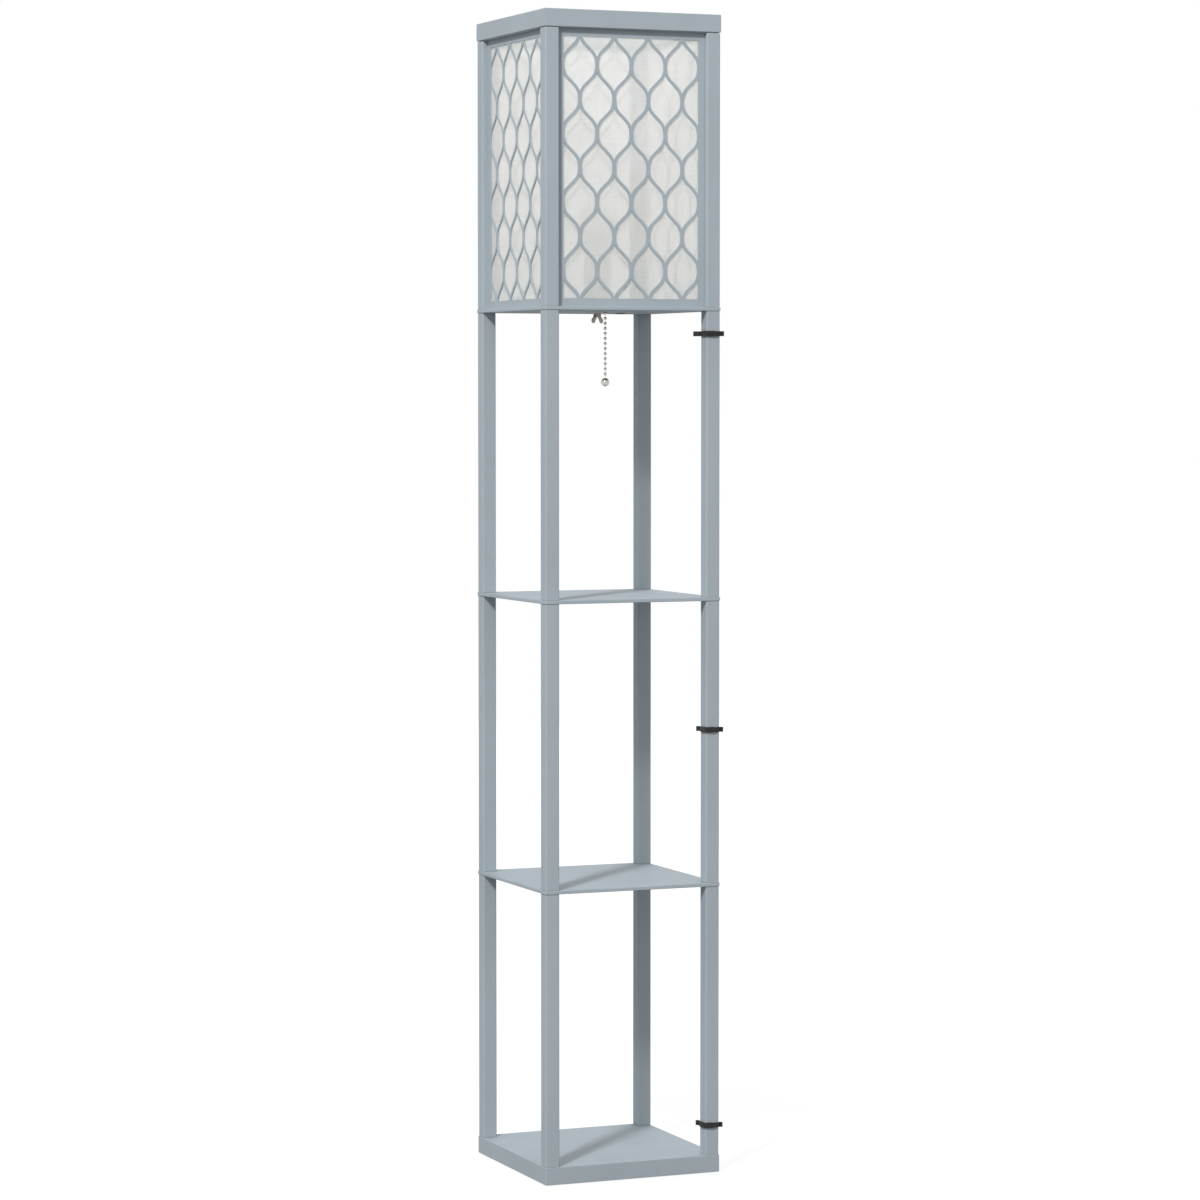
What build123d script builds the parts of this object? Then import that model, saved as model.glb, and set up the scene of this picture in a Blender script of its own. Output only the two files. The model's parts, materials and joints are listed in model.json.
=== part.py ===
from build123d import *
import os
from math import acos, asin, atan2, ceil, cos, degrees, radians, sin, sqrt

# Shelf floor lamp: a square base, two open shelves and a lattice shade, stacked on four
# corner posts that come apart at every board. Millimetres. +Z is up, +X is right and -Y
# is the front. The origin is the middle of the underside, on the floor.

# ---------------------------------------------------------------- driving dimensions
# Boards
board_width = 260.0
board_corner_round = 1.5
board_edge_round = 0.8
pad_thickness = 1.0
pad_margin = 10.0
base_thickness = 24.0
shelf_thickness = 5.0
cap_height = 25.0
cap_rail_width = 20.0
cap_reveal_height = 0.9
cap_reveal_depth = 3.0

# Clear heights between the boards
lower_bay = 375.0
middle_bay = 391.0
upper_bay = 394.0
shade_height = 375.0

# Posts
post_side = 20.0
post_inset = 0.8
post_edge_round = 1.8
post_end_chamfer = 0.6

# Fasteners of the frame
stud_radius = 3.0
stud_bite = 25.0
stud_chamfer = 0.8
bolt_head_radius = 6.0
bolt_head_height = 4.5
bolt_key_width = 4.0
bolt_key_depth = 2.5
counterbore_depth = 8.0
dowel_radius = 4.0
dowel_bite = 14.0
thread_gap = 0.05
passing_gap = 0.25
head_gap = 0.5
hole_end_gap = 0.6

# Lattice panels
panel_setback = 9.0
panel_thickness = 1.5
panel_fit = 0.2
stile_width = 9.2
top_rail_width = 9.8
bottom_rail_width = 11.0
lattice_step = 25.2
lattice_rise = 46.25
strand_width = 3.8
node_width = 5.1
strand_bend = 22.4
node_straight = 2.1
cell_tip_round = 0.8

# Fabric behind each lattice panel
fabric_thickness = 0.8
fabric_gap = 0.3
fabric_margin = 3.0

# Pull chain
chain_offset = 28.6
bead_radius = 2.3
bead_wall = 0.35
bead_mouth_radius = 0.9
bead_pitch = 7.0
first_bead_drop = 2.3
beads_above = 6
beads_below = 13
link_rod_radius = 0.35
link_knob_radius = 1.0
link_play = 0.05
ball_radius = 6.0
ball_wall = 1.0
ball_gap = 3.0
chain_hole_radius = 3.5

# Pull switch
pull_travel = 8.0
lever_arm = 22.0
lever_width = 3.2
lever_thickness = 1.2
lever_eye_radius = 2.4
lever_eye_bore = 1.0
lever_barrel_radius = 2.4
lever_side_play = 0.3
lever_swing_play = 1.2
pin_radius = 1.0
pin_length = 14.0
pin_play = 0.05

# Socket on its bracket
bracket_height = 14.0
bracket_width = 20.0
bracket_front = 9.0
bracket_back = 15.0
bracket_sheet = 1.5
bracket_bend = 2.5
socket_bolt_radius = 2.5
socket_bolt_head_radius = 4.6
socket_bolt_head_height = 3.2
washer_radius = 6.5
washer_thickness = 1.0
nipple_radius = 5.0
nipple_bore = 3.5
nipple_below = 7.5
nipple_above = 5.0
nut_width = 14.0
nut_height = 3.0
socket_cap_radius = 17.8
socket_cap_wall = 1.5
socket_cap_round = 3.0
core_radius = 17.4
core_above_pin = 12.0
core_below_pin = 6.0
shell_wall = 1.0
shell_gap = 0.2
shell_overlap = 4.5
shell_lip = 2.0
screw_shell_rim = 1.5
screw_shell_wall = 0.4
screw_flange_width = 2.6
contact_width = 6.0
contact_sheet = 0.6
contact_rise = 1.6
contact_half_length = 9.0

# Bulb
thread_radius = 12.9
thread_pitch = 3.6
thread_depth = 0.45
thread_play = 0.25
thread_turns = 5
bulb_length = 105.0
bulb_radius = 30.0
bulb_glass = 1.0
bulb_contact_radius = 4.5
bulb_contact_height = 1.8
bulb_insulator_height = 3.2
bulb_collar_height = 5.0
bulb_shoulder_length = 30.0

# Wing nut
wing_span = 27.4
wing_height = 14.5
wing_tip_radius = 3.4
wing_thickness = 2.0
wing_hub_radius = 5.4
wing_hub_height = 6.2
wing_root_radius = 2.1
wing_turn = 35.0

# Cord grommet in the lamp plate
grommet_x = 60.0
grommet_y = 60.0
grommet_bore = 3.2
grommet_neck_radius = 5.0
grommet_flange_radius = 7.0
grommet_flange_height = 0.9

# Cable clips on the front right post
clip_below_plate = 31.0
clip_above_shelf = 213.0
clip_above_base = 42.0
clip_left_lips = (10.8, 5.9, 5.9)
clip_right_lips = (4.6, 4.2, 4.2)
clip_sheet = 1.6
clip_gap = 0.3
clip_bow = 1.2
clip_hook = 1.9
clip_lip_angle = 140.0
clip_bend = 1.2
clip_end_height = 6.8
clip_body_height = 7.6

# ---------------------------------------------------------------- heights and places
base_bottom = pad_thickness
base_top = base_bottom + base_thickness
lower_shelf_bottom = base_top + lower_bay
lower_shelf_top = lower_shelf_bottom + shelf_thickness
upper_shelf_bottom = lower_shelf_top + middle_bay
upper_shelf_top = upper_shelf_bottom + shelf_thickness
plate_bottom = upper_shelf_top + upper_bay
plate_top = plate_bottom + shelf_thickness
cap_bottom = plate_top + shade_height
cap_top = cap_bottom + cap_height

half_board = board_width / 2
post_centre = half_board - post_inset - post_side / 2
post_gap = 2 * (post_centre - post_side / 2)
corners = {
    "front_left": (-post_centre, -post_centre),
    "front_right": (post_centre, -post_centre),
    "back_left": (-post_centre, post_centre),
    "back_right": (post_centre, post_centre),
}
sides = {"front": (0, -1), "back": (0, 1), "left": (-1, 0), "right": (1, 0)}
clip_heights = (
    plate_bottom - clip_below_plate,
    lower_shelf_top + clip_above_shelf,
    base_top + clip_above_base,
)

os.makedirs("parts", exist_ok=True)


def save(piece, label):
    """Name a finished piece and write its STEP file."""
    piece.part.label = label
    export_step(piece.part, f"parts/{label}.step")


def side_plane(outward, distance, height):
    """A plane that faces outward on one side of the lamp, with its own y axis upwards."""
    x, y = outward
    return Plane(origin=(x * distance, y * distance, height), x_dir=(-y, x, 0), z_dir=(x, y, 0))


# ---------------------------------------------------------------- boards
with BuildPart() as base_pad:
    with BuildSketch():
        Rectangle(board_width - 2 * pad_margin, board_width - 2 * pad_margin)
    extrude(amount=pad_thickness)
save(base_pad, "base_pad")

with BuildPart() as base_board:
    with BuildSketch(Plane.XY.offset(base_bottom)):
        RectangleRounded(board_width, board_width, board_corner_round)
    extrude(amount=base_thickness)
    rims = base_board.edges().group_by(Axis.Z)
    fillet(rims[0] + rims[-1], radius=board_edge_round)
    with Locations(Plane(origin=(0, 0, base_bottom), z_dir=(0, 0, -1))):
        with GridLocations(2 * post_centre, 2 * post_centre, 2, 2):
            CounterBoreHole(
                radius=stud_radius + passing_gap,
                counter_bore_radius=bolt_head_radius + head_gap,
                counter_bore_depth=counterbore_depth,
            )
save(base_board, "base_board")


def make_shelf(label, bottom, extra_holes=()):
    """A thin board with a stud hole at each post. extra_holes holds (x, y, radius)."""
    with BuildPart() as shelf:
        with BuildSketch(Plane.XY.offset(bottom)):
            RectangleRounded(board_width, board_width, board_corner_round)
        extrude(amount=shelf_thickness)
        rims = shelf.edges().group_by(Axis.Z)
        fillet(rims[0] + rims[-1], radius=board_edge_round)
        with BuildSketch(Plane.XY.offset(bottom)):
            with GridLocations(2 * post_centre, 2 * post_centre, 2, 2):
                Circle(stud_radius + passing_gap)
            for hole_x, hole_y, hole_radius in extra_holes:
                with Locations((hole_x, hole_y)):
                    Circle(hole_radius)
        extrude(amount=shelf_thickness, mode=Mode.SUBTRACT)
    save(shelf, label)


plate_holes = (
    (0, 0, socket_bolt_radius + passing_gap),
    (0, -chain_offset, chain_hole_radius),
    (grommet_x, grommet_y, grommet_neck_radius),
)
make_shelf("lower_shelf", lower_shelf_bottom)
make_shelf("upper_shelf", upper_shelf_bottom)
make_shelf("lamp_plate", plate_bottom, plate_holes)


def make_cap_rail(label, turn):
    """One mitred rail of the open frame on top, drawn at the front and turned into place. Its
    foot stands back from the outer face, which leaves a shadow gap above the posts."""
    inner = half_board - cap_rail_width
    foot_height = cap_bottom + cap_reveal_height
    with BuildPart() as rail:
        for outer, low, high in (
            (half_board - cap_reveal_depth, cap_bottom, foot_height),
            (half_board, foot_height, cap_top),
        ):
            with BuildSketch(Plane.XY.offset(low).rotated((0, 0, turn))):
                with BuildLine():
                    Polyline(
                        (-outer, -outer), (outer, -outer), (inner, -inner), (-inner, -inner), close=True
                    )
                make_face()
            extrude(amount=high - low)
        outer_face_edges = rail.faces().sort_by(SortBy.AREA)[-1].edges()
        long_edges = outer_face_edges.sort_by(SortBy.LENGTH)[-2:]
        fillet(long_edges, radius=board_edge_round)
        with BuildSketch(Plane.XY.offset(cap_bottom)):
            with GridLocations(2 * post_centre, 2 * post_centre, 2, 2):
                Circle(dowel_radius + thread_gap)
        extrude(amount=dowel_bite + hole_end_gap, mode=Mode.SUBTRACT)
    save(rail, label)


for rail_name, rail_turn in (("front", 0), ("right", 90), ("back", 180), ("left", 270)):
    make_cap_rail(f"cap_rail_{rail_name}", rail_turn)


# ---------------------------------------------------------------- posts
def make_post(label, centre, bottom, height, top_hole_radius, top_hole_depth):
    """One post piece, bored at both ends for what joins it to the next."""
    with BuildPart() as post:
        with BuildSketch(Plane.XY.offset(bottom)):
            with Locations(centre):
                RectangleRounded(post_side, post_side, post_edge_round)
        extrude(amount=height)
        ends = post.edges().group_by(Axis.Z)
        chamfer(ends[0] + ends[-1], length=post_end_chamfer)
        with BuildSketch(Plane.XY.offset(bottom)):
            with Locations(centre):
                Circle(stud_radius + thread_gap)
        extrude(amount=stud_bite + hole_end_gap, mode=Mode.SUBTRACT)
        with BuildSketch(Plane.XY.offset(bottom + height)):
            with Locations(centre):
                Circle(top_hole_radius)
        extrude(amount=-top_hole_depth, mode=Mode.SUBTRACT)
    save(post, label)


stud_hole = (stud_radius + thread_gap, stud_bite + hole_end_gap)
dowel_hole = (dowel_radius + thread_gap, dowel_bite + hole_end_gap)
post_tiers = {
    "lower": (base_top, lower_bay, stud_hole),
    "middle": (lower_shelf_top, middle_bay, stud_hole),
    "upper": (upper_shelf_top, upper_bay, stud_hole),
    "shade": (plate_top, shade_height, dowel_hole),
}
for tier, (tier_bottom, tier_height, top_hole) in post_tiers.items():
    for corner, corner_centre in corners.items():
        make_post(f"post_{tier}_{corner}", corner_centre, tier_bottom, tier_height, *top_hole)

# ---------------------------------------------------------------- fasteners of the frame
bolt_seat = base_bottom + counterbore_depth
with BuildPart() as base_bolts:
    with BuildSketch(Plane.XY.offset(bolt_seat)):
        with GridLocations(2 * post_centre, 2 * post_centre, 2, 2):
            Circle(stud_radius)
    extrude(amount=base_top + stud_bite - bolt_seat)
    chamfer(base_bolts.edges().group_by(Axis.Z)[-1], length=stud_chamfer)
    with BuildSketch(Plane.XY.offset(bolt_seat)):
        with GridLocations(2 * post_centre, 2 * post_centre, 2, 2):
            Circle(bolt_head_radius)
    extrude(amount=-bolt_head_height)
    with BuildSketch(Plane.XY.offset(bolt_seat - bolt_head_height)):
        with GridLocations(2 * post_centre, 2 * post_centre, 2, 2):
            RegularPolygon(bolt_key_width / 2, 6, major_radius=False)
    extrude(amount=bolt_key_depth, mode=Mode.SUBTRACT)
save(base_bolts, "base_bolts")

with BuildPart() as shelf_studs:
    for board_bottom in (lower_shelf_bottom, upper_shelf_bottom, plate_bottom):
        with BuildSketch(Plane.XY.offset(board_bottom - stud_bite)):
            with GridLocations(2 * post_centre, 2 * post_centre, 2, 2):
                Circle(stud_radius)
        extrude(amount=shelf_thickness + 2 * stud_bite)
    chamfer(shelf_studs.edges().filter_by(GeomType.CIRCLE), length=stud_chamfer)
save(shelf_studs, "shelf_studs")

with BuildPart() as cap_dowels:
    with BuildSketch(Plane.XY.offset(cap_bottom - dowel_bite)):
        with GridLocations(2 * post_centre, 2 * post_centre, 2, 2):
            Circle(dowel_radius)
    extrude(amount=2 * dowel_bite)
    chamfer(cap_dowels.edges().filter_by(GeomType.CIRCLE), length=stud_chamfer)
save(cap_dowels, "cap_dowels")

# ---------------------------------------------------------------- lattice panels
# A strand runs upright for node_straight beside a node, bends by an arc, crosses on a
# slanted straight run and bends back at the next node. The cell is what lies between the
# strands. One quarter of its outline is worked out here and mirrored twice.
panel_width = post_gap - 2 * panel_fit
panel_height = shade_height - panel_fit
panel_face = half_board - panel_setback
opening_width = panel_width - 2 * stile_width
opening_height = panel_height - top_rail_width - bottom_rail_width
opening_centre = plate_top + bottom_rail_width + opening_height / 2
panel_centre = plate_top + panel_height / 2
strand_offset = (node_width - strand_width) / 2
half_strand = strand_width / 2

across = lattice_step - 2 * strand_offset - 2 * strand_bend
along = lattice_rise - 2 * node_straight
slant = asin(2 * strand_bend / sqrt(across**2 + along**2)) + atan2(across, along)
outer_bend = strand_bend + half_strand
inner_bend = strand_bend - half_strand
tip_bend_centre = Vector(strand_offset + strand_bend, lattice_rise - node_straight)
side_bend_centre = Vector(lattice_step - strand_offset - strand_bend, node_straight)
tip_angle = acos((strand_bend + strand_offset) / outer_bend)


def tip_bend_point(angle):
    """A point on the arc from the cell's tip, by its angle from the upright."""
    return tip_bend_centre - Vector(cos(angle), sin(angle)) * outer_bend


def side_bend_point(angle):
    """A point on the arc into the cell's side, by its angle from the upright."""
    return side_bend_centre + Vector(cos(angle), sin(angle)) * inner_bend


with BuildSketch() as cell:
    with BuildLine():
        ThreePointArc(
            tip_bend_point(tip_angle), tip_bend_point((tip_angle + slant) / 2), tip_bend_point(slant)
        )
        Line(tip_bend_point(slant), side_bend_point(slant))
        ThreePointArc(side_bend_point(slant), side_bend_point(slant / 2), side_bend_point(0))
        Line(side_bend_point(0), Vector(side_bend_point(0).X, 0))
        mirror(about=Plane.XZ)
        mirror(about=Plane.YZ)
    make_face()
    tips = cell.vertices().group_by(Axis.Y)
    fillet(tips[0] + tips[-1], radius=cell_tip_round)

lattice_rows = ceil(opening_height / 2 / lattice_rise)
lattice_columns = ceil(opening_width / 2 / lattice_step)
cell_places = [
    (column * lattice_step, row * lattice_rise)
    for row in range(-lattice_rows, lattice_rows + 1)
    for column in range(-lattice_columns, lattice_columns + 1)
    if (row + column) % 2 == 0
]
with BuildSketch() as cells:
    with Locations(cell_places):
        add(cell.sketch)
    Rectangle(opening_width, opening_height, mode=Mode.INTERSECT)

for side, outward in sides.items():
    with BuildPart() as panel:
        with BuildSketch(side_plane(outward, panel_face, panel_centre)):
            Rectangle(panel_width, panel_height)
            with Locations((0, opening_centre - panel_centre)):
                add(cells.sketch, mode=Mode.SUBTRACT)
        extrude(amount=-panel_thickness)
    save(panel, f"lattice_{side}")

# ---------------------------------------------------------------- fabric panels
fabric_face = panel_face - panel_thickness - fabric_gap
for side, outward in sides.items():
    with BuildPart() as fabric:
        with BuildSketch(side_plane(outward, fabric_face, panel_centre)):
            Rectangle(panel_width - 2 * fabric_margin, panel_height - 2 * fabric_margin)
        extrude(amount=-fabric_thickness)
    save(fabric, f"fabric_{side}")

# ---------------------------------------------------------------- pull chain
# Hollow beads with an open mouth at each pole. A link's rod passes the mouths and its
# knobs are caught inside two beads, where they turn.
bead_hollow = bead_radius - bead_wall
mouth_inside = sqrt(bead_hollow**2 - bead_mouth_radius**2)
knob_in_mouth = sqrt(link_knob_radius**2 - bead_mouth_radius**2)
knob_drop = mouth_inside - knob_in_mouth - link_play
first_bead = plate_bottom - first_bead_drop
upper_beads = [first_bead + i * bead_pitch for i in range(beads_above + 1)]
lower_beads = [first_bead - i * bead_pitch for i in range(1, beads_below)]
ball_centre = lower_beads[-1] - bead_radius - ball_gap - ball_radius
ball_hollow = ball_radius - ball_wall
ball_knob_rise = sqrt(ball_hollow**2 - bead_mouth_radius**2) - knob_in_mouth - link_play


def make_beads(label, heights):
    """A row of beads, each a separate hollow ball with a mouth above and below."""
    with BuildPart() as beads:
        with Locations([(0, -chain_offset, height) for height in heights]):
            Sphere(bead_radius)
            Sphere(bead_hollow, mode=Mode.SUBTRACT)
            Cylinder(bead_mouth_radius, 2 * bead_radius, mode=Mode.SUBTRACT)
    save(beads, label)


def make_links(label, knob_pairs):
    """Dumb-bell links, each between two knob centres given as heights."""
    with BuildPart() as links:
        for upper_knob, lower_knob in knob_pairs:
            with Locations((0, -chain_offset, (upper_knob + lower_knob) / 2)):
                Cylinder(link_rod_radius, upper_knob - lower_knob)
            with Locations((0, -chain_offset, upper_knob), (0, -chain_offset, lower_knob)):
                Sphere(link_knob_radius)
    save(links, label)


def link_between(upper_bead, lower_bead):
    """The knob heights of the link between two beads."""
    return upper_bead - knob_drop, lower_bead + knob_drop


make_beads("chain_beads_upper", upper_beads)
make_links("chain_links_upper", [link_between(z + bead_pitch, z) for z in upper_beads[:-1]])
make_links("chain_link_swing", [link_between(first_bead, lower_beads[0])])
make_beads("chain_beads_lower", lower_beads)
ball_link = (lower_beads[-1] - knob_drop, ball_centre + ball_knob_rise)
make_links(
    "chain_links_lower",
    [link_between(z + bead_pitch, z) for z in lower_beads[1:]] + [ball_link],
)

with BuildPart() as chain_ball:
    with Locations((0, -chain_offset, ball_centre)):
        Sphere(ball_radius)
        Sphere(ball_hollow, mode=Mode.SUBTRACT)
        Cylinder(
            bead_mouth_radius,
            ball_radius,
            align=(Align.CENTER, Align.CENTER, Align.MIN),
            mode=Mode.SUBTRACT,
        )
save(chain_ball, "chain_ball")

# ---------------------------------------------------------------- pull switch
# The top bead sits over the lever's eye. A pull brings the eye down by pull_travel, half
# of it above the pin's height and half below.
eye_height = upper_beads[-1] - bead_pitch / 2
pin_height = eye_height - pull_travel / 2
lever_tilt = asin(pull_travel / 2 / lever_arm)
pin_y = -chain_offset + lever_arm * cos(lever_tilt)
core_bottom = pin_height - core_below_pin
core_top = pin_height + core_above_pin
bracket_top = plate_top + bracket_height
shell_radius = socket_cap_radius + shell_gap + shell_wall
slot_width = lever_width + 2 * lever_side_play

with BuildPart() as switch_lever:
    lever_plane = Plane(
        origin=(0, pin_y, pin_height),
        x_dir=(0, -cos(lever_tilt), sin(lever_tilt)),
        z_dir=(0, sin(lever_tilt), cos(lever_tilt)),
    )
    with BuildSketch(lever_plane):
        with Locations((lever_arm / 2, 0)):
            Rectangle(lever_arm, lever_width)
        with Locations((lever_arm, 0)):
            Circle(lever_eye_radius)
    extrude(amount=lever_thickness / 2, both=True)
    with BuildSketch(Plane.YZ):
        with Locations((pin_y, pin_height)):
            Circle(lever_barrel_radius)
    extrude(amount=lever_width / 2, both=True)
    with BuildSketch(Plane.YZ):
        with Locations((pin_y, pin_height)):
            Circle(pin_radius + pin_play)
    extrude(amount=lever_width, both=True, mode=Mode.SUBTRACT)
    with BuildSketch(lever_plane):
        with Locations((lever_arm, 0)):
            Circle(lever_eye_bore)
    extrude(amount=lever_thickness, both=True, mode=Mode.SUBTRACT)
save(switch_lever, "switch_lever")

with BuildPart() as switch_pin:
    with BuildSketch(Plane.YZ):
        with Locations((pin_y, pin_height)):
            Circle(pin_radius)
    extrude(amount=pin_length / 2, both=True)
save(switch_pin, "switch_pin")

# ---------------------------------------------------------------- socket
slot_back = pin_y + lever_barrel_radius + lever_side_play
slot_half_height = (
    (shell_radius + pin_y) * sin(lever_tilt) + lever_thickness / 2 + lever_swing_play
)
bulb_bottom = core_top + contact_sheet + contact_rise
thread_bottom = bulb_bottom + bulb_contact_height + bulb_insulator_height
thread_top = thread_bottom + thread_turns * thread_pitch
screw_radius = thread_radius + thread_play
screw_shell_top = thread_top + screw_shell_rim

with BuildPart() as socket_core:
    with BuildSketch(Plane.XY.offset(core_bottom)):
        Circle(core_radius)
    extrude(amount=core_top - core_bottom)
    with BuildSketch(Plane.YZ):
        with Locations(((slot_back - shell_radius) / 2, pin_height)):
            Rectangle(slot_back + shell_radius, 2 * slot_half_height)
    extrude(amount=slot_width / 2, both=True, mode=Mode.SUBTRACT)
    with BuildSketch(Plane.YZ):
        with Locations((pin_y, pin_height)):
            Circle(pin_radius)
    extrude(amount=pin_length / 2, both=True, mode=Mode.SUBTRACT)
save(socket_core, "socket_core")

with BuildPart() as socket_cap:
    with BuildSketch(Plane.XY.offset(bracket_top)):
        Circle(socket_cap_radius)
    extrude(amount=core_bottom - bracket_top)
    fillet(socket_cap.edges().group_by(Axis.Z)[0], radius=socket_cap_round)
    with BuildSketch(Plane.XY.offset(core_bottom)):
        Circle(socket_cap_radius - socket_cap_wall)
    extrude(amount=bracket_top + socket_cap_wall - core_bottom, mode=Mode.SUBTRACT)
    with BuildSketch(Plane.XY.offset(bracket_top)):
        Circle(nipple_radius + thread_gap)
    extrude(amount=socket_cap_wall, mode=Mode.SUBTRACT)
save(socket_cap, "socket_cap")

shell_top = screw_shell_top + shell_lip
shell_bottom = core_bottom - shell_overlap
with BuildPart() as socket_shell:
    with BuildSketch(Plane.XY.offset(shell_bottom)):
        Circle(shell_radius)
    extrude(amount=shell_top - shell_bottom)
    fillet(socket_shell.edges().group_by(Axis.Z)[-1], radius=shell_wall)
    with BuildSketch(Plane.XY.offset(shell_bottom)):
        Circle(shell_radius - shell_wall)
    extrude(amount=screw_shell_top + shell_gap - shell_bottom, mode=Mode.SUBTRACT)
    with BuildSketch(Plane.XY.offset(shell_top)):
        Circle(shell_radius - shell_wall - shell_lip)
    extrude(amount=-2 * shell_lip, mode=Mode.SUBTRACT)
    with BuildSketch(Plane.XZ.offset(shell_radius - 2 * shell_wall - shell_gap)):
        with Locations((0, pin_height)):
            RectangleRounded(
                slot_width + 2 * lever_side_play, 2 * slot_half_height, lever_side_play
            )
    extrude(amount=3 * shell_wall, mode=Mode.SUBTRACT)
save(socket_shell, "socket_shell")


def wave_points(radius, bottom, depth):
    """The side of a rolled thread: (radius, height) points at each zero and crest."""
    quarter = thread_pitch / 4
    swing = (0, depth, 0, -depth)
    return [
        (radius + swing[i % 4], bottom + i * quarter) for i in range(4 * thread_turns + 1)
    ]


def wave_arcs(points):
    """Arcs through each half wave of a rolled thread."""
    for start in range(0, len(points) - 1, 2):
        ThreePointArc(*points[start : start + 3])


with BuildPart() as screw_shell:
    with BuildSketch(Plane.XZ):
        with BuildLine():
            foot = core_top + screw_shell_wall
            outside_radius = screw_radius + screw_shell_wall
            outside = wave_points(outside_radius, thread_bottom, thread_depth)
            inside = wave_points(screw_radius, thread_bottom, thread_depth)[::-1]
            wave_arcs(outside)
            Polyline(
                outside[-1], (outside_radius, screw_shell_top), (screw_radius, screw_shell_top), inside[0]
            )
            wave_arcs(inside)
            Polyline(
                inside[-1],
                (screw_radius, core_top),
                (outside_radius + screw_flange_width, core_top),
                (outside_radius + screw_flange_width, foot),
                (outside_radius, foot),
                outside[0],
            )
        make_face()
    revolve(axis=Axis.Z)
save(screw_shell, "screw_shell")

with BuildPart() as centre_contact:
    with BuildSketch(Plane.YZ):
        with BuildLine():
            low = core_top + contact_sheet / 2
            high = low + contact_rise
            step = contact_half_length / 6
            FilletPolyline(
                (-contact_half_length, low),
                (-3 * step, low),
                (-step, high),
                (step, high),
                (3 * step, low),
                (contact_half_length, low),
                radius=contact_sheet,
            )
        trace(line_width=contact_sheet)
    extrude(amount=contact_width / 2, both=True)
save(centre_contact, "centre_contact")

# ---------------------------------------------------------------- bracket and its fasteners
with BuildPart() as socket_bracket:
    with BuildSketch(Plane.YZ):
        with BuildLine():
            leg_low = plate_top + bracket_sheet / 2
            leg_high = bracket_top - bracket_sheet / 2
            FilletPolyline(
                (-bracket_front, leg_low),
                (bracket_back, leg_low),
                (bracket_back, leg_high),
                (-bracket_front, leg_high),
                radius=bracket_bend,
            )
        trace(line_width=bracket_sheet)
    extrude(amount=bracket_width / 2, both=True)
    with BuildSketch(Plane.XY.offset(plate_top)):
        Circle(socket_bolt_radius + passing_gap)
    extrude(amount=bracket_sheet, mode=Mode.SUBTRACT)
    with BuildSketch(Plane.XY.offset(bracket_top)):
        Circle(nipple_radius + thread_gap)
    extrude(amount=-bracket_sheet, mode=Mode.SUBTRACT)
save(socket_bracket, "socket_bracket")

washer_bottom = plate_bottom - washer_thickness
hub_bottom = washer_bottom - wing_hub_height
bolt_head_bottom = plate_top + bracket_sheet
with BuildPart() as bracket_bolt:
    with BuildSketch(Plane.XY.offset(hub_bottom)):
        Circle(socket_bolt_radius)
    extrude(amount=bolt_head_bottom - hub_bottom)
    with BuildSketch(Plane.XY.offset(bolt_head_bottom)):
        Circle(socket_bolt_head_radius)
    extrude(amount=socket_bolt_head_height)
    fillet(bracket_bolt.edges().group_by(Axis.Z)[-1], radius=socket_bolt_head_height / 2)
save(bracket_bolt, "bracket_bolt")

with BuildPart() as bracket_washer:
    with BuildSketch(Plane.XY.offset(washer_bottom)):
        Circle(washer_radius)
        Circle(socket_bolt_radius + passing_gap, mode=Mode.SUBTRACT)
    extrude(amount=washer_thickness)
save(bracket_washer, "bracket_washer")

with BuildPart() as socket_nipple:
    with BuildSketch(Plane.XY.offset(bracket_top - nipple_below)):
        Circle(nipple_radius)
        Circle(nipple_bore, mode=Mode.SUBTRACT)
    extrude(amount=nipple_below + nipple_above)
save(socket_nipple, "socket_nipple")

with BuildPart() as nipple_nuts:
    nut_seats = (bracket_top - bracket_sheet - nut_height, bracket_top + socket_cap_wall)
    for nut_bottom in nut_seats:
        with BuildSketch(Plane.XY.offset(nut_bottom)):
            RegularPolygon(nut_width / 2, 6, major_radius=False)
            Circle(nipple_radius + thread_gap, mode=Mode.SUBTRACT)
        extrude(amount=nut_height)
save(nipple_nuts, "nipple_nuts")

# The wing nut's hub bears on the washer and its wings flare down and outwards.
with BuildPart() as wing_nut:
    with BuildSketch(Plane.XY.offset(hub_bottom)):
        Circle(wing_hub_radius)
    extrude(amount=wing_hub_height)
    wing_plane = Plane.XZ.rotated((0, 0, wing_turn))
    for wing_side in (-1, 1):
        with BuildSketch(wing_plane):
            tip_x = wing_side * (wing_span / 2 - wing_tip_radius)
            with Locations((tip_x, washer_bottom - wing_height + wing_tip_radius)):
                Circle(wing_tip_radius)
            with Locations((wing_side * wing_hub_radius / 2, washer_bottom - wing_hub_height / 2)):
                Circle(wing_root_radius)
            make_hull()
        extrude(amount=wing_thickness / 2, both=True)
    with BuildSketch(Plane.XY.offset(washer_bottom)):
        Circle(socket_bolt_radius + thread_gap)
    extrude(amount=-wing_height, mode=Mode.SUBTRACT)
save(wing_nut, "wing_nut")

with BuildPart() as cord_grommet:
    grommet_low = plate_bottom - grommet_flange_height
    with BuildSketch(Plane.XY.offset(grommet_low)):
        with Locations((grommet_x, grommet_y)):
            Circle(grommet_neck_radius)
    extrude(amount=shelf_thickness + 2 * grommet_flange_height)
    for flange_low in (grommet_low, plate_top):
        with BuildSketch(Plane.XY.offset(flange_low)):
            with Locations((grommet_x, grommet_y)):
                Circle(grommet_flange_radius)
        extrude(amount=grommet_flange_height)
    with BuildSketch(Plane.XY.offset(grommet_low)):
        with Locations((grommet_x, grommet_y)):
            Circle(grommet_bore)
    extrude(amount=shelf_thickness + 2 * grommet_flange_height, mode=Mode.SUBTRACT)
save(cord_grommet, "cord_grommet")

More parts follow.
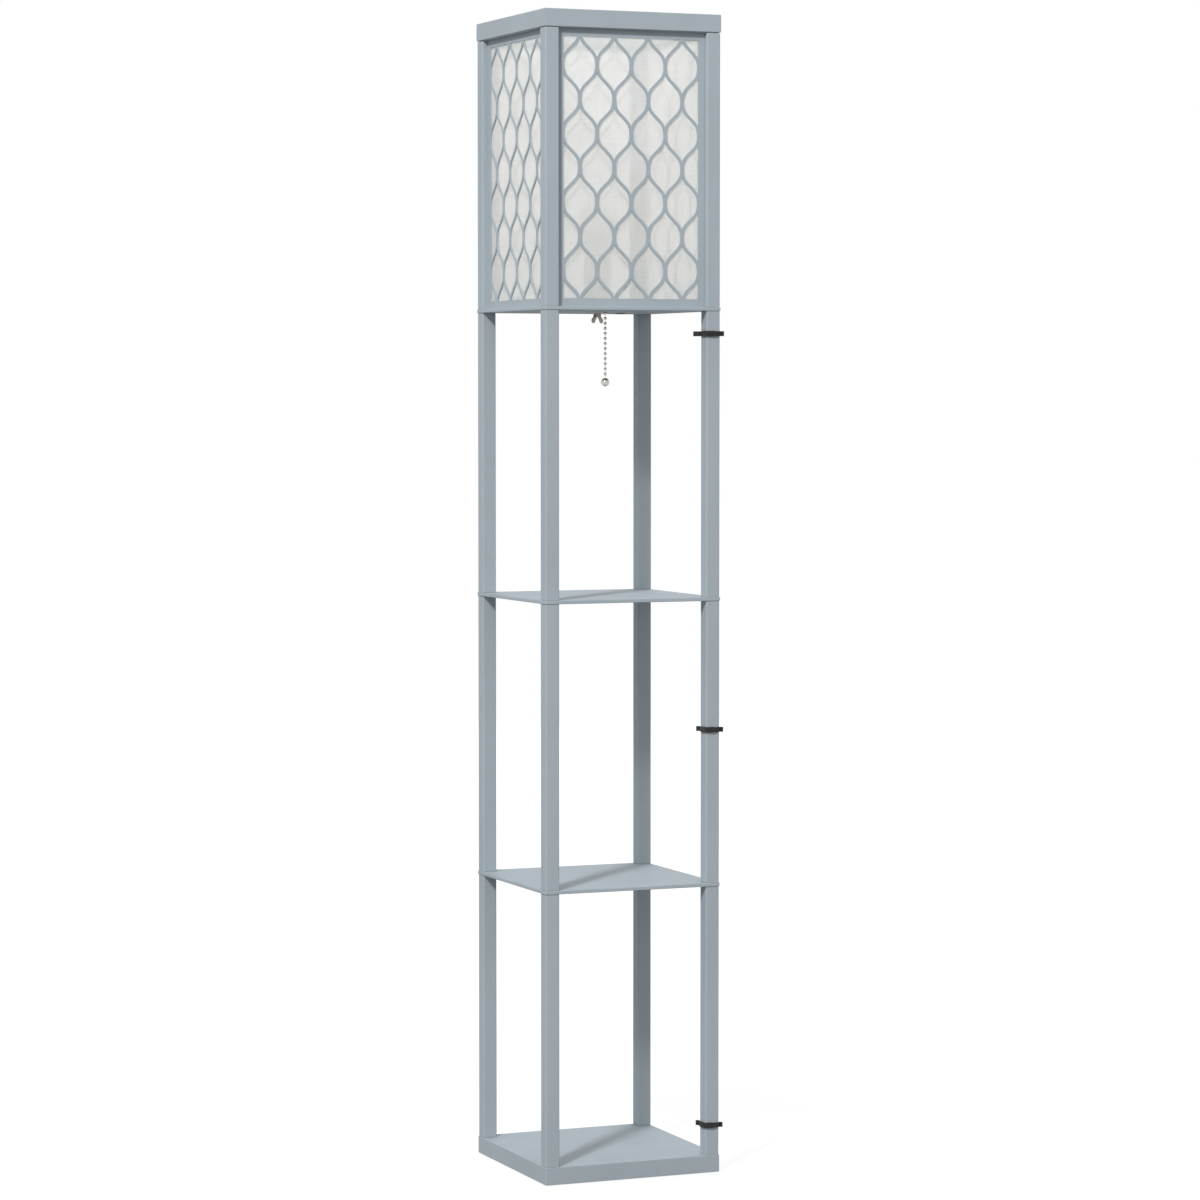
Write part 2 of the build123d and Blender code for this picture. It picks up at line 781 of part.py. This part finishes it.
# ---------------------------------------------------------------- bulb
# The base is a rolled metal cup with its contact below, and the glass is a thin shell
# whose neck is cemented inside the base.
glass_neck = thread_radius - thread_depth - screw_shell_wall
base_rim = thread_top + bulb_collar_height
globe_centre = bulb_bottom + bulb_length - bulb_radius
with BuildPart() as bulb_base:
    with BuildSketch(Plane.XZ):
        with BuildLine():
            threads = wave_points(thread_radius, thread_bottom, thread_depth)
            wave_arcs(threads)
            Polyline(
                threads[-1],
                (thread_radius, base_rim),
                (glass_neck, base_rim),
                (glass_neck, thread_bottom),
                (0, thread_bottom),
                (0, bulb_bottom),
                (bulb_contact_radius, bulb_bottom),
                (bulb_contact_radius, bulb_bottom + bulb_contact_height),
                threads[0],
            )
        make_face()
    revolve(axis=Axis.Z)
save(bulb_base, "bulb_base")

neck_bottom = base_rim - bulb_collar_height
neck_radius = glass_neck - thread_gap
shoulder_top = base_rim + bulb_shoulder_length
shoulder_angle = asin((globe_centre - shoulder_top) / bulb_radius)
dome_middle = (radians(90) - shoulder_angle) / 2


def glass_side(neck, dome):
    """One side of the glass wall: the upright neck, the flare of the shoulder and the dome."""
    shoulder = (dome * cos(shoulder_angle), globe_centre - dome * sin(shoulder_angle))
    middle = (dome * cos(dome_middle), globe_centre + dome * sin(dome_middle))
    flare = (sin(shoulder_angle), cos(shoulder_angle))
    Line((neck, neck_bottom), (neck, base_rim))
    Spline((neck, base_rim), shoulder, tangents=((0, 1), flare))
    ThreePointArc(shoulder, middle, (0, globe_centre + dome))


with BuildPart() as bulb_globe:
    with BuildSketch(Plane.XZ):
        with BuildLine():
            glass_side(neck_radius, bulb_radius)
            glass_side(neck_radius - bulb_glass, bulb_radius - bulb_glass)
            Line((neck_radius, neck_bottom), (neck_radius - bulb_glass, neck_bottom))
            Line((0, globe_centre + bulb_radius), (0, globe_centre + bulb_radius - bulb_glass))
        make_face()
    revolve(axis=Axis.Z)
save(bulb_globe, "bulb_globe")

# ---------------------------------------------------------------- cable clips
# A sprung strap over the two outer faces of the front right post. Each end hooks a corner
# of the post and flares out into a lip.
strap_line = post_side / 2 + clip_gap + clip_sheet / 2
hook_start = post_side / 2 - clip_gap
hook_end = (strap_line - clip_hook, hook_start + clip_hook)
lip_angle = radians(clip_lip_angle)


def strap_half(lip_length):
    """Points of one half of the strap from the bow on its face to the tip of its lip."""
    return [
        (-strap_line - clip_bow, 0),
        (-strap_line, hook_start),
        (-hook_end[0], hook_end[1]),
        (-hook_end[0] + lip_length * cos(lip_angle), hook_end[1] + lip_length * sin(lip_angle)),
    ]


with BuildPart() as cable_clips:
    clip_x, clip_y = corners["front_right"]
    for clip_z, left_lip, right_lip in zip(clip_heights, clip_left_lips, clip_right_lips):
        left_half = strap_half(left_lip)
        right_half = [(y, x) for x, y in strap_half(right_lip)]
        strap = left_half[::-1] + [(-strap_line, -strap_line)] + right_half
        body = [left_half[0], (-strap_line, -strap_line), right_half[0]]
        with BuildSketch(Plane((clip_x, clip_y, clip_z))):
            with BuildLine():
                FilletPolyline(*strap, radius=clip_bend)
            trace(line_width=clip_sheet)
        extrude(amount=clip_end_height / 2, both=True)
        with BuildSketch(Plane((clip_x, clip_y, clip_z))):
            with BuildLine():
                FilletPolyline(*body, radius=clip_bend)
            trace(line_width=clip_sheet)
        extrude(amount=clip_body_height / 2, both=True)
save(cable_clips, "cable_clips")

print("height", cap_top, "lattice slant", round(degrees(slant), 2))
print("pin", round(pin_y, 3), round(pin_height, 3), "lever tilt", round(degrees(lever_tilt), 3))
print("first knobs", round(first_bead - knob_drop, 3), round(lower_beads[0] + knob_drop, 3))
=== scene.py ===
import json
import math

import bmesh
import bpy
from mathutils import Euler, Matrix, Vector, noise


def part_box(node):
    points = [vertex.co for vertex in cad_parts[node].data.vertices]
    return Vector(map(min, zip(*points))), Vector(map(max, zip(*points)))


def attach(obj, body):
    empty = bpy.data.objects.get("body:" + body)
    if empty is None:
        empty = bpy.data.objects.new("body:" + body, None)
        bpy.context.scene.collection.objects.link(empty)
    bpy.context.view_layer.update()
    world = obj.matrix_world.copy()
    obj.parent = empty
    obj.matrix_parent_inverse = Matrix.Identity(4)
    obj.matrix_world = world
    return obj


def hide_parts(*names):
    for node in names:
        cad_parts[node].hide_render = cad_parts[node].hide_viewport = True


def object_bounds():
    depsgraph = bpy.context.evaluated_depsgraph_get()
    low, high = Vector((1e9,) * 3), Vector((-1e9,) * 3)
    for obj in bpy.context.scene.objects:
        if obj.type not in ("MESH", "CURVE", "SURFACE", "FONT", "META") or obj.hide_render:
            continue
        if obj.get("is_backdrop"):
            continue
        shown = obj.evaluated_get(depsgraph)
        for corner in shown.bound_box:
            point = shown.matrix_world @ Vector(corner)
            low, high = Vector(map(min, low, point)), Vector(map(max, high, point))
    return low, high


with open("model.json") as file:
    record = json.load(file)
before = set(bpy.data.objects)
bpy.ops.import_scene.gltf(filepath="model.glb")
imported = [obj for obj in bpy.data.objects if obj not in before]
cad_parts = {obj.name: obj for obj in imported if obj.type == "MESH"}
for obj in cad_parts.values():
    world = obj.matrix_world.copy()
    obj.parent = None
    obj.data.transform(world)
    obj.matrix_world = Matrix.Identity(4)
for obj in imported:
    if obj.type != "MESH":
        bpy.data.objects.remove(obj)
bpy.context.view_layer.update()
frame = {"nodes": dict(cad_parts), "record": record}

MM = 0.001

# ---------------------------------------------------------------- colours, as sRGB hex
PAINT = "A6B0B6"
PAINT_SHADE = "A0AAB0"
LINEN = "F8F8F6"
LINEN_SHADE = "ECEBE8"
NICKEL = "C9C6BF"
DULL_NICKEL = "9A928A"
ZINC = "B9BBBA"
BRASS = "D9B565"
PHENOLIC = "1E1B19"
NYLON = "161616"
RUBBER = "1B1B1B"
FOAM = "2A2A2B"
BEECH = "CFA97A"
BEECH_FLECK = "B98E5F"
ALUMINIUM = "CFCFCE"
GLASS = "F4F3EF"
FLOOR = "7E7E7E"
SKY = "F6F8FA"

# ---------------------------------------------------------------- camera
# A long lens a little below the shade's foot, turned from the front towards the left side.
camera_place = Vector((-2118.15, -5102.85, 1081.8)) * MM
camera_turn = math.radians(22.582)
camera_dip = math.radians(2.988)
lens_mm = 118.692
sensor_mm = 36.0
nearest_seen = 0.1
farthest_seen = 60.0

camera_data = bpy.data.cameras.new("camera")
camera_data.lens = lens_mm
camera_data.sensor_width = sensor_mm
camera_data.clip_start = nearest_seen
camera_data.clip_end = farthest_seen
camera = bpy.data.objects.new("camera", camera_data)
camera.location = camera_place
camera.rotation_euler = Euler((math.radians(90) - camera_dip, 0, -camera_turn), "XYZ")
bpy.context.scene.collection.objects.link(camera)
bpy.context.scene.camera = camera


# ---------------------------------------------------------------- materials
def linear(hex_colour):
    """An sRGB hex colour as linear RGBA."""
    channels = [int(hex_colour[i : i + 2], 16) / 255 for i in (0, 2, 4)]
    bent = [c / 12.92 if c <= 0.04045 else ((c + 0.055) / 1.055) ** 2.4 for c in channels]
    return (*bent, 1.0)


def add_node(tree, kind, settings=None, links=None):
    """Adds a node. Settings go to its properties or inputs, and links feed its inputs."""
    node = tree.nodes.new(kind)
    for name, value in (settings or {}).items():
        if isinstance(name, str) and hasattr(node, name):
            setattr(node, name, value)
        else:
            node.inputs[name].default_value = value
    for name, source in (links or {}).items():
        tree.links.new(source, node.inputs[name])
    return node


def start_material(name, colour, roughness, metallic=0.0, **sockets):
    """A material with its plain values set on the shader. Returns it, its tree and shader."""
    material = bpy.data.materials.new(name)
    material.use_nodes = True
    tree = material.node_tree
    shader = tree.nodes["Principled BSDF"]
    shader.inputs["Base Color"].default_value = linear(colour)
    shader.inputs["Roughness"].default_value = roughness
    shader.inputs["Metallic"].default_value = metallic
    for socket, value in sockets.items():
        shader.inputs[socket.replace("_", " ")].default_value = value
    return material, tree, shader


def grain(tree, spacing_mm, stretch=(1, 1, 1), detail=2.0):
    """Noise whose cells are spacing_mm across in object space, drawn out by stretch."""
    place = add_node(tree, "ShaderNodeTexCoord")
    mapping = add_node(
        tree,
        "ShaderNodeMapping",
        {"Scale": tuple(1 / (spacing_mm * MM * s) for s in stretch)},
        {"Vector": place.outputs["Object"]},
    )
    return add_node(
        tree,
        "ShaderNodeTexNoise",
        {"Scale": 1.0, "Detail": detail, "Roughness": 0.5},
        {"Vector": mapping.outputs["Vector"]},
    ).outputs["Fac"]


def tint(tree, factor, low, high, near=0.35, far=0.65):
    """A colour that runs from low to high as factor runs from near to far."""
    ramp = add_node(tree, "ShaderNodeValToRGB", links={"Fac": factor})
    ramp.color_ramp.elements[0].position = near
    ramp.color_ramp.elements[0].color = linear(low)
    ramp.color_ramp.elements[1].position = far
    ramp.color_ramp.elements[1].color = linear(high)
    return ramp.outputs["Color"]


def spread(tree, factor, low, high):
    """Maps factor from 0.3 to 0.7 onto low to high."""
    return add_node(
        tree,
        "ShaderNodeMapRange",
        {"From Min": 0.3, "From Max": 0.7, "To Min": low, "To Max": high},
        {"Value": factor},
    ).outputs["Result"]


def raise_surface(tree, shader, height, depth_mm, strength=1.0):
    """Feeds a height pattern to the shader as relief of depth_mm."""
    bump = add_node(
        tree,
        "ShaderNodeBump",
        {"Distance": depth_mm * MM, "Strength": strength},
        {"Height": height},
    )
    tree.links.new(bump.outputs["Normal"], shader.inputs["Normal"])


def satin_paint():
    """Sprayed satin paint on wood board: a slight orange peel about 2 mm across, and thin
    clouds in the colour and the gloss."""
    material, tree, shader = start_material("satin_paint_on_wood", PAINT, 0.7)
    shader.inputs["IOR"].default_value = 1.48
    clouds = grain(tree, 90, (1, 1, 2.2), detail=3.0)
    tree.links.new(tint(tree, clouds, PAINT_SHADE, PAINT, 0.25, 0.6), shader.inputs["Base Color"])
    tree.links.new(spread(tree, grain(tree, 14), 0.66, 0.74), shader.inputs["Roughness"])
    raise_surface(tree, shader, grain(tree, 2.2), 0.02, 0.5)
    return material


def linen_cloth():
    """Plain-woven linen: threads that cross at right angles with thick and thin places. The
    real threads lie 0.6 mm apart, and are drawn 1.6 mm apart so that they show. Each of the
    sheet's two skins lets part of the light straight through and scatters some of the rest
    to its other side."""
    cover = 0.42
    scattered_share = 0.25
    spacing_mm = 1.6
    slub_sizes_mm = ((40, 1.7), (1.9, 34))
    weave_share = 0.25
    # The wave node turns 20 radians per unit, and half a wave is one thread.
    wave_scale = math.pi / (spacing_mm * MM * 20)

    material, tree, shader = start_material("woven_linen", LINEN, 0.9, Alpha=cover)
    place = add_node(tree, "ShaderNodeTexCoord")
    threads = []
    for direction in ("X", "Y"):
        threads.append(
            add_node(
                tree,
                "ShaderNodeTexWave",
                {
                    "wave_type": "BANDS",
                    "bands_direction": direction,
                    "Scale": wave_scale,
                    "Distortion": 0.6,
                    "Detail": 1.0,
                },
                {"Vector": place.outputs["UV"]},
            ).outputs["Fac"]
        )
    weave = add_node(
        tree, "ShaderNodeMath", {"operation": "ADD"}, {0: threads[0], 1: threads[1]}
    ).outputs["Value"]
    slubs = []
    for wide_mm, tall_mm in slub_sizes_mm:
        drawn = add_node(
            tree,
            "ShaderNodeMapping",
            {"Scale": (1 / (wide_mm * MM), 1 / (tall_mm * MM), 1)},
            {"Vector": place.outputs["UV"]},
        )
        slubs.append(
            add_node(
                tree,
                "ShaderNodeTexNoise",
                {"Scale": 1.0, "Detail": 2.0},
                {"Vector": drawn.outputs["Vector"]},
            ).outputs["Fac"]
        )
    slub = add_node(
        tree, "ShaderNodeMath", {"operation": "ADD"}, {0: slubs[0], 1: slubs[1]}
    ).outputs["Value"]
    tree.links.new(tint(tree, slub, LINEN_SHADE, LINEN, 0.75, 1.05), shader.inputs["Base Color"])
    height = add_node(
        tree, "ShaderNodeMath", {"operation": "MULTIPLY_ADD", 1: weave_share}, {0: weave, 2: slub}
    ).outputs["Value"]
    raise_surface(tree, shader, height, 0.08, 0.4)
    through = add_node(tree, "ShaderNodeBsdfTranslucent", {"Color": linear(LINEN)})
    shared = add_node(
        tree,
        "ShaderNodeMixShader",
        {0: scattered_share},
        {1: shader.outputs["BSDF"], 2: through.outputs["BSDF"]},
    )
    tree.links.new(shared.outputs["Shader"], tree.nodes["Material Output"].inputs["Surface"])
    return material


def plated_metal(name, colour, roughness):
    """Plated or rolled metal: its polish is fine and a little uneven."""
    material, tree, shader = start_material(name, colour, roughness, metallic=1.0)
    polish = grain(tree, 1.2, (3, 3, 1), detail=3.0)
    tree.links.new(
        spread(tree, polish, roughness * 0.75, roughness * 1.3), shader.inputs["Roughness"]
    )
    raise_surface(tree, shader, grain(tree, 0.4), 0.01, 0.4)
    return material


def moulded_plastic(name, colour, roughness):
    """Moulded black plastic, foam or rubber: fine spark-eroded grain and worn gloss."""
    material, tree, shader = start_material(name, colour, roughness, Specular_IOR_Level=0.35)
    wear = grain(tree, 5, detail=3.0)
    tree.links.new(
        spread(tree, wear, roughness - 0.08, roughness + 0.08), shader.inputs["Roughness"]
    )
    raise_surface(tree, shader, grain(tree, 0.5), 0.03, 0.6)
    return material


def bare_beech():
    """Turned beech: short darker flecks along the dowel."""
    material, tree, shader = start_material("bare_beech", BEECH, 0.7)
    flecks = grain(tree, 0.8, (1, 1, 9), detail=3.0)
    tree.links.new(tint(tree, flecks, BEECH_FLECK, BEECH), shader.inputs["Base Color"])
    raise_surface(tree, shader, flecks, 0.03, 0.6)
    return material


def frosted_glass():
    """A bulb's glass, etched white inside: it hides what is behind it and keeps a clear
    gloss on its outer side."""
    material, tree, shader = start_material(
        "frosted_bulb_glass", GLASS, 0.25, Coat_Weight=0.6, Coat_Roughness=0.05, Alpha=0.94
    )
    tree.links.new(spread(tree, grain(tree, 12), 0.2, 0.32), shader.inputs["Roughness"])
    raise_surface(tree, shader, grain(tree, 0.6), 0.01, 0.3)
    return material


finishes = {
    "painted_wood": satin_paint(),
    "shade_linen": linen_cloth(),
    "foam_pad": moulded_plastic("closed_cell_foam", FOAM, 0.85),
    "zinc_steel": plated_metal("zinc_plated_steel", ZINC, 0.38),
    "wing_nut_metal": plated_metal("dull_nickel_plate", DULL_NICKEL, 0.42),
    "beech_dowel": bare_beech(),
    "socket_shell_nickel": plated_metal("satin_nickel_plate", NICKEL, 0.32),
    "socket_core_phenolic": moulded_plastic("phenolic_moulding", PHENOLIC, 0.45),
    "contact_brass": plated_metal("bright_brass", BRASS, 0.25),
    "chain_nickel": plated_metal("polished_nickel_plate", NICKEL, 0.27),
    "bulb_base_nickel": plated_metal("rolled_aluminium", ALUMINIUM, 0.3),
    "bulb_frosted_glass": frosted_glass(),
    "clip_black_nylon": moulded_plastic("black_nylon", NYLON, 0.5),
    "grommet_rubber": moulded_plastic("matt_rubber", RUBBER, 0.7),
}
slot_of = {part["node"]: part["material_slot"] for part in frame["record"]["subparts"]}
body_of = {
    node: body for body, nodes in frame["record"]["behaviour"]["bodies"].items() for node in nodes
}


# ---------------------------------------------------------------- making pieces
def finish_piece(shape, name, node, smooth_angle=35.0):
    """Turns a bmesh into the piece that stands for a CAD node, with its finish and body."""
    mesh = bpy.data.meshes.new(name)
    shape.to_mesh(mesh)
    shape.free()
    piece = bpy.data.objects.new(name, mesh)
    bpy.context.scene.collection.objects.link(piece)
    mesh.shade_smooth()
    mesh.set_sharp_from_angle(angle=math.radians(smooth_angle))
    mesh.materials.append(finishes[slot_of[node]])
    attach(piece, body_of[node])
    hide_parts(node)
    return piece


def merged_copy(node, weld_mm=0.002, flat_degrees=0.5):
    """A copy of a CAD part's mesh as one closed skin with no needless edges."""
    shape = bmesh.new()
    shape.from_mesh(frame["nodes"][node].data)
    bmesh.ops.remove_doubles(shape, verts=shape.verts, dist=weld_mm * MM)
    bmesh.ops.dissolve_limit(
        shape, angle_limit=math.radians(flat_degrees), verts=shape.verts, edges=shape.edges
    )
    return shape


def soften(shape, width_mm, segments, hard_angle=50.0):
    """Rounds each edge that is sharper than hard_angle."""
    hard = [
        edge
        for edge in shape.edges
        if len(edge.link_faces) == 2 and edge.calc_face_angle() > math.radians(hard_angle)
    ]
    bmesh.ops.bevel(
        shape,
        geom=hard,
        offset=width_mm * MM,
        offset_type="OFFSET",
        segments=segments,
        profile=0.5,
        affect="EDGES",
        material=-1,
        clamp_overlap=True,
    )


def softened_part(node, width_mm, segments):
    """A CAD part with its sharp edges rounded and its shading evened out."""
    shape = merged_copy(node)
    soften(shape, width_mm, segments)
    piece = finish_piece(shape, f"{node}_piece", node)
    weigh = piece.modifiers.new("even_shading", "WEIGHTED_NORMAL")
    weigh.keep_sharp = True


def turned(profile, steps, centre):
    """Spins a profile of (radius, height) points in metres round an upright axis. Where the
    profile meets the axis the skin is closed."""
    shape = bmesh.new()
    corners = [shape.verts.new((radius, 0, height)) for radius, height in profile]
    edges = [shape.edges.new(pair) for pair in zip(corners, corners[1:])]
    bmesh.ops.spin(
        shape,
        geom=corners + edges,
        cent=(0, 0, 0),
        axis=(0, 0, 1),
        angle=math.tau,
        steps=steps,
        use_merge=True,
    )
    bmesh.ops.remove_doubles(shape, verts=shape.verts, dist=0.001 * MM)
    bmesh.ops.recalc_face_normals(shape, faces=shape.faces)
    bmesh.ops.translate(shape, verts=shape.verts, vec=(*centre, 0))
    return shape


def arc_points(centre_height, radius, start, end, count):
    """Points of an arc about the axis, by angles from straight up, in degrees."""
    angles = [math.radians(start + (end - start) * i / count) for i in range(count + 1)]
    return [(radius * math.sin(a), centre_height + radius * math.cos(a)) for a in angles]


def join_shapes(shapes):
    """One bmesh that holds several."""
    whole = bmesh.new()
    for shape in shapes:
        scratch = bpy.data.meshes.new("scratch")
        shape.to_mesh(scratch)
        shape.free()
        whole.from_mesh(scratch)
        bpy.data.meshes.remove(scratch)
    return whole


# ---------------------------------------------------------------- wooden parts
lattice_edge_mm = 0.3
board_edge_mm = 0.35
for node, slot_name in slot_of.items():
    if slot_name == "painted_wood":
        edge_mm = lattice_edge_mm if node.startswith("lattice") else board_edge_mm
        softened_part(node, edge_mm, 3)

# ---------------------------------------------------------------- linen panels
# Each panel is one stretched sheet, lying a little unevenly between its glued edges.
sheet_thickness = 0.6 * MM
sheet_cells = (26, 46)
sheet_unevenness = 0.16 * MM
sheet_waves_per_metre = (22, 16)
glued_margin = 20 * MM
side_turns = {"front": 0, "right": 90, "back": 180, "left": 270}
for side, turn in side_turns.items():
    node = f"fabric_{side}"
    low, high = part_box(node)
    sizes = sorted(high - low)
    width, height = sizes[1], sizes[2]
    centre = (low + high) / 2
    out = max(abs(centre.x), abs(centre.y))
    shape = bmesh.new()
    bmesh.ops.create_grid(
        shape, x_segments=sheet_cells[0], y_segments=sheet_cells[1], size=0.5, calc_uvs=False
    )
    uv = shape.loops.layers.uv.new("UVMap")
    for face in shape.faces:
        for loop in face.loops:
            loop[uv].uv = (loop.vert.co.x * width, loop.vert.co.y * height)
    bmesh.ops.scale(shape, vec=(width, height, 1), verts=shape.verts)
    for vert in shape.verts:
        from_edge = min(width / 2 - abs(vert.co.x), height / 2 - abs(vert.co.y))
        hold = min(1.0, from_edge / glued_margin)
        across = vert.co.x * sheet_waves_per_metre[0]
        up = vert.co.y * sheet_waves_per_metre[1]
        vert.co.z = sheet_unevenness * hold * noise.noise(Vector((across, up, turn)))
    bmesh.ops.rotate(shape, matrix=Matrix.Rotation(math.radians(90), 3, "X"), verts=shape.verts)
    bmesh.ops.translate(shape, vec=(0, -out, centre.z), verts=shape.verts)
    bmesh.ops.rotate(
        shape, cent=(0, 0, 0), matrix=Matrix.Rotation(math.radians(turn), 3, "Z"), verts=shape.verts
    )
    panel = finish_piece(shape, f"linen_{side}", node, smooth_angle=60)
    thicken = panel.modifiers.new("cloth_thickness", "SOLIDIFY")
    thicken.thickness = sheet_thickness
    thicken.offset = 0.0

# ---------------------------------------------------------------- pull chain
# Pressed beads: each a ball rolled from strip, with an open mouth at both poles.
bead_pitch = 7.0 * MM
bead_wall = 0.35 * MM
bead_steps = 20
bead_outer_points = 12
bead_inner_points = 8
outer_mouth = 23.0
inner_mouth = outer_mouth * 1.15


def beads_of(node):
    """The beads of a CAD node, turned one by one. Each bead's height comes from the node."""
    low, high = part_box(node)
    radius = (high.x - low.x) / 2
    cut = radius * (1 - math.cos(math.radians(outer_mouth)))
    first, last = high.z + cut - radius, low.z - cut + radius
    count = round((first - last) / bead_pitch) + 1
    centre = ((low.x + high.x) / 2, (low.y + high.y) / 2)
    inner = radius - bead_wall
    shapes = []
    for i in range(count):
        height = first - (first - last) * i / (count - 1)
        profile = arc_points(height, radius, outer_mouth, 180 - outer_mouth, bead_outer_points)
        profile += arc_points(height, inner, 180 - inner_mouth, inner_mouth, bead_inner_points)
        shapes.append(turned(profile + profile[:1], bead_steps, centre))
    finish_piece(join_shapes(shapes), f"{node}_piece", node)


for node in ("chain_beads_upper", "chain_beads_lower"):
    beads_of(node)

# The end ball has one mouth, on top, for the last link.
ball_wall = 1.0 * MM
ball_mouth_radius = 0.9 * MM
ball_steps = 36
low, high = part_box("chain_ball")
ball_radius = (high.x - low.x) / 2
ball_centre = low.z + ball_radius
ball_mouth = math.degrees(math.asin(ball_mouth_radius / ball_radius))
ball_profile = arc_points(ball_centre, ball_radius, ball_mouth, 180, 24)
ball_profile += arc_points(ball_centre, ball_radius - ball_wall, 180, ball_mouth * 1.2, 12)
ball_axis = ((low.x + high.x) / 2, (low.y + high.y) / 2)
ball_shape = turned(ball_profile + ball_profile[:1], ball_steps, ball_axis)
finish_piece(ball_shape, "chain_ball_piece", "chain_ball")

# ---------------------------------------------------------------- metal and plastic parts
# The width in millimetres and the segments of each part's edge rounding.
edge_roundings = {
    "wing_nut": (0.6, 4),
    "cable_clips": (0.35, 2),
    "socket_bracket": (0.3, 2),
    "bracket_bolt": (0.3, 2),
    "bracket_washer": (0.2, 2),
    "socket_core": (0.4, 2),
    "switch_lever": (0.25, 2),
    "nipple_nuts": (0.4, 2),
    "base_bolts": (0.4, 2),
    "base_pad": (0.3, 2),
    "cord_grommet": (0.35, 3),
}
for node, (width_mm, segments) in edge_roundings.items():
    softened_part(node, width_mm, segments)

# The CAD parts that are shown as they are get their finish here.
for node, slot_name in slot_of.items():
    shown = frame["nodes"][node]
    if not shown.hide_render:
        shown.data.materials.clear()
        shown.data.materials.append(finishes[slot_name])


# ---------------------------------------------------------------- floor, light, background
def seen_directly(tree):
    """1 for what the camera, a gloss or a glass sees, and 0 for light on a rough surface."""
    path = add_node(tree, "ShaderNodeLightPath")
    seen = path.outputs["Is Camera Ray"]
    for ray in ("Is Glossy Ray", "Is Transmission Ray"):
        seen = add_node(
            tree, "ShaderNodeMath", {"operation": "MAXIMUM"}, {0: seen, 1: path.outputs[ray]}
        ).outputs["Value"]
    return seen


floor_size = 60.0
floor_glow = 0.8
floor_shape = bmesh.new()
bmesh.ops.create_grid(floor_shape, x_segments=1, y_segments=1, size=floor_size / 2)
floor_mesh = bpy.data.meshes.new("floor")
floor_shape.to_mesh(floor_mesh)
floor_shape.free()
floor = bpy.data.objects.new("floor", floor_mesh)
bpy.context.scene.collection.objects.link(floor)
floor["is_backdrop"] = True
floor_material, floor_tree, floor_shader = start_material("studio_floor", FLOOR, 0.9)
floor_mesh.materials.append(floor_material)
glow_power = add_node(
    floor_tree,
    "ShaderNodeMath",
    {"operation": "MULTIPLY", 1: floor_glow},
    {0: seen_directly(floor_tree)},
)
glow = add_node(floor_tree, "ShaderNodeEmission", links={"Strength": glow_power.outputs["Value"]})
glowing = add_node(
    floor_tree,
    "ShaderNodeAddShader",
    links={0: floor_shader.outputs["BSDF"], 1: glow.outputs["Emission"]},
)
floor_tree.links.new(
    glowing.outputs["Shader"], floor_tree.nodes["Material Output"].inputs["Surface"]
)

ambient_strength = 0.65
world = bpy.data.worlds.new("studio")
bpy.context.scene.world = world
world.use_nodes = True
ambient = world.node_tree.nodes["Background"]
ambient.inputs["Color"].default_value = linear(SKY)
ambient.inputs["Strength"].default_value = ambient_strength
white = add_node(world.node_tree, "ShaderNodeBackground", {"Color": (1, 1, 1, 1), "Strength": 1.0})
pick = add_node(
    world.node_tree,
    "ShaderNodeMixShader",
    links={
        0: seen_directly(world.node_tree),
        1: ambient.outputs["Background"],
        2: white.outputs["Background"],
    },
)
world.node_tree.links.new(
    pick.outputs["Shader"], world.node_tree.nodes["World Output"].inputs["Surface"]
)

light_target = Vector((0, 0, 0.9))


def softbox(name, place, size, power, glossy=True):
    """A square area light, size metres wide and power watts strong, that points from place
    to the lamp's middle. glossy says whether glossy surfaces mirror it."""
    light = bpy.data.lights.new(name, "AREA")
    light.shape = "RECTANGLE"
    light.size = light.size_y = size
    light.energy = power
    lamp = bpy.data.objects.new(name, light)
    lamp.location = place
    lamp.rotation_euler = (light_target - Vector(place)).to_track_quat("-Z", "Y").to_euler()
    lamp.visible_glossy = glossy
    bpy.context.scene.collection.objects.link(lamp)


softbox("key", (-4.6, -4.6, 5.6), size=0.8, power=460)
softbox("back", (4.0, 5.5, 2.6), size=4.0, power=170, glossy=False)

bpy.context.scene.view_settings.view_transform = "Standard"

low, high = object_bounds()
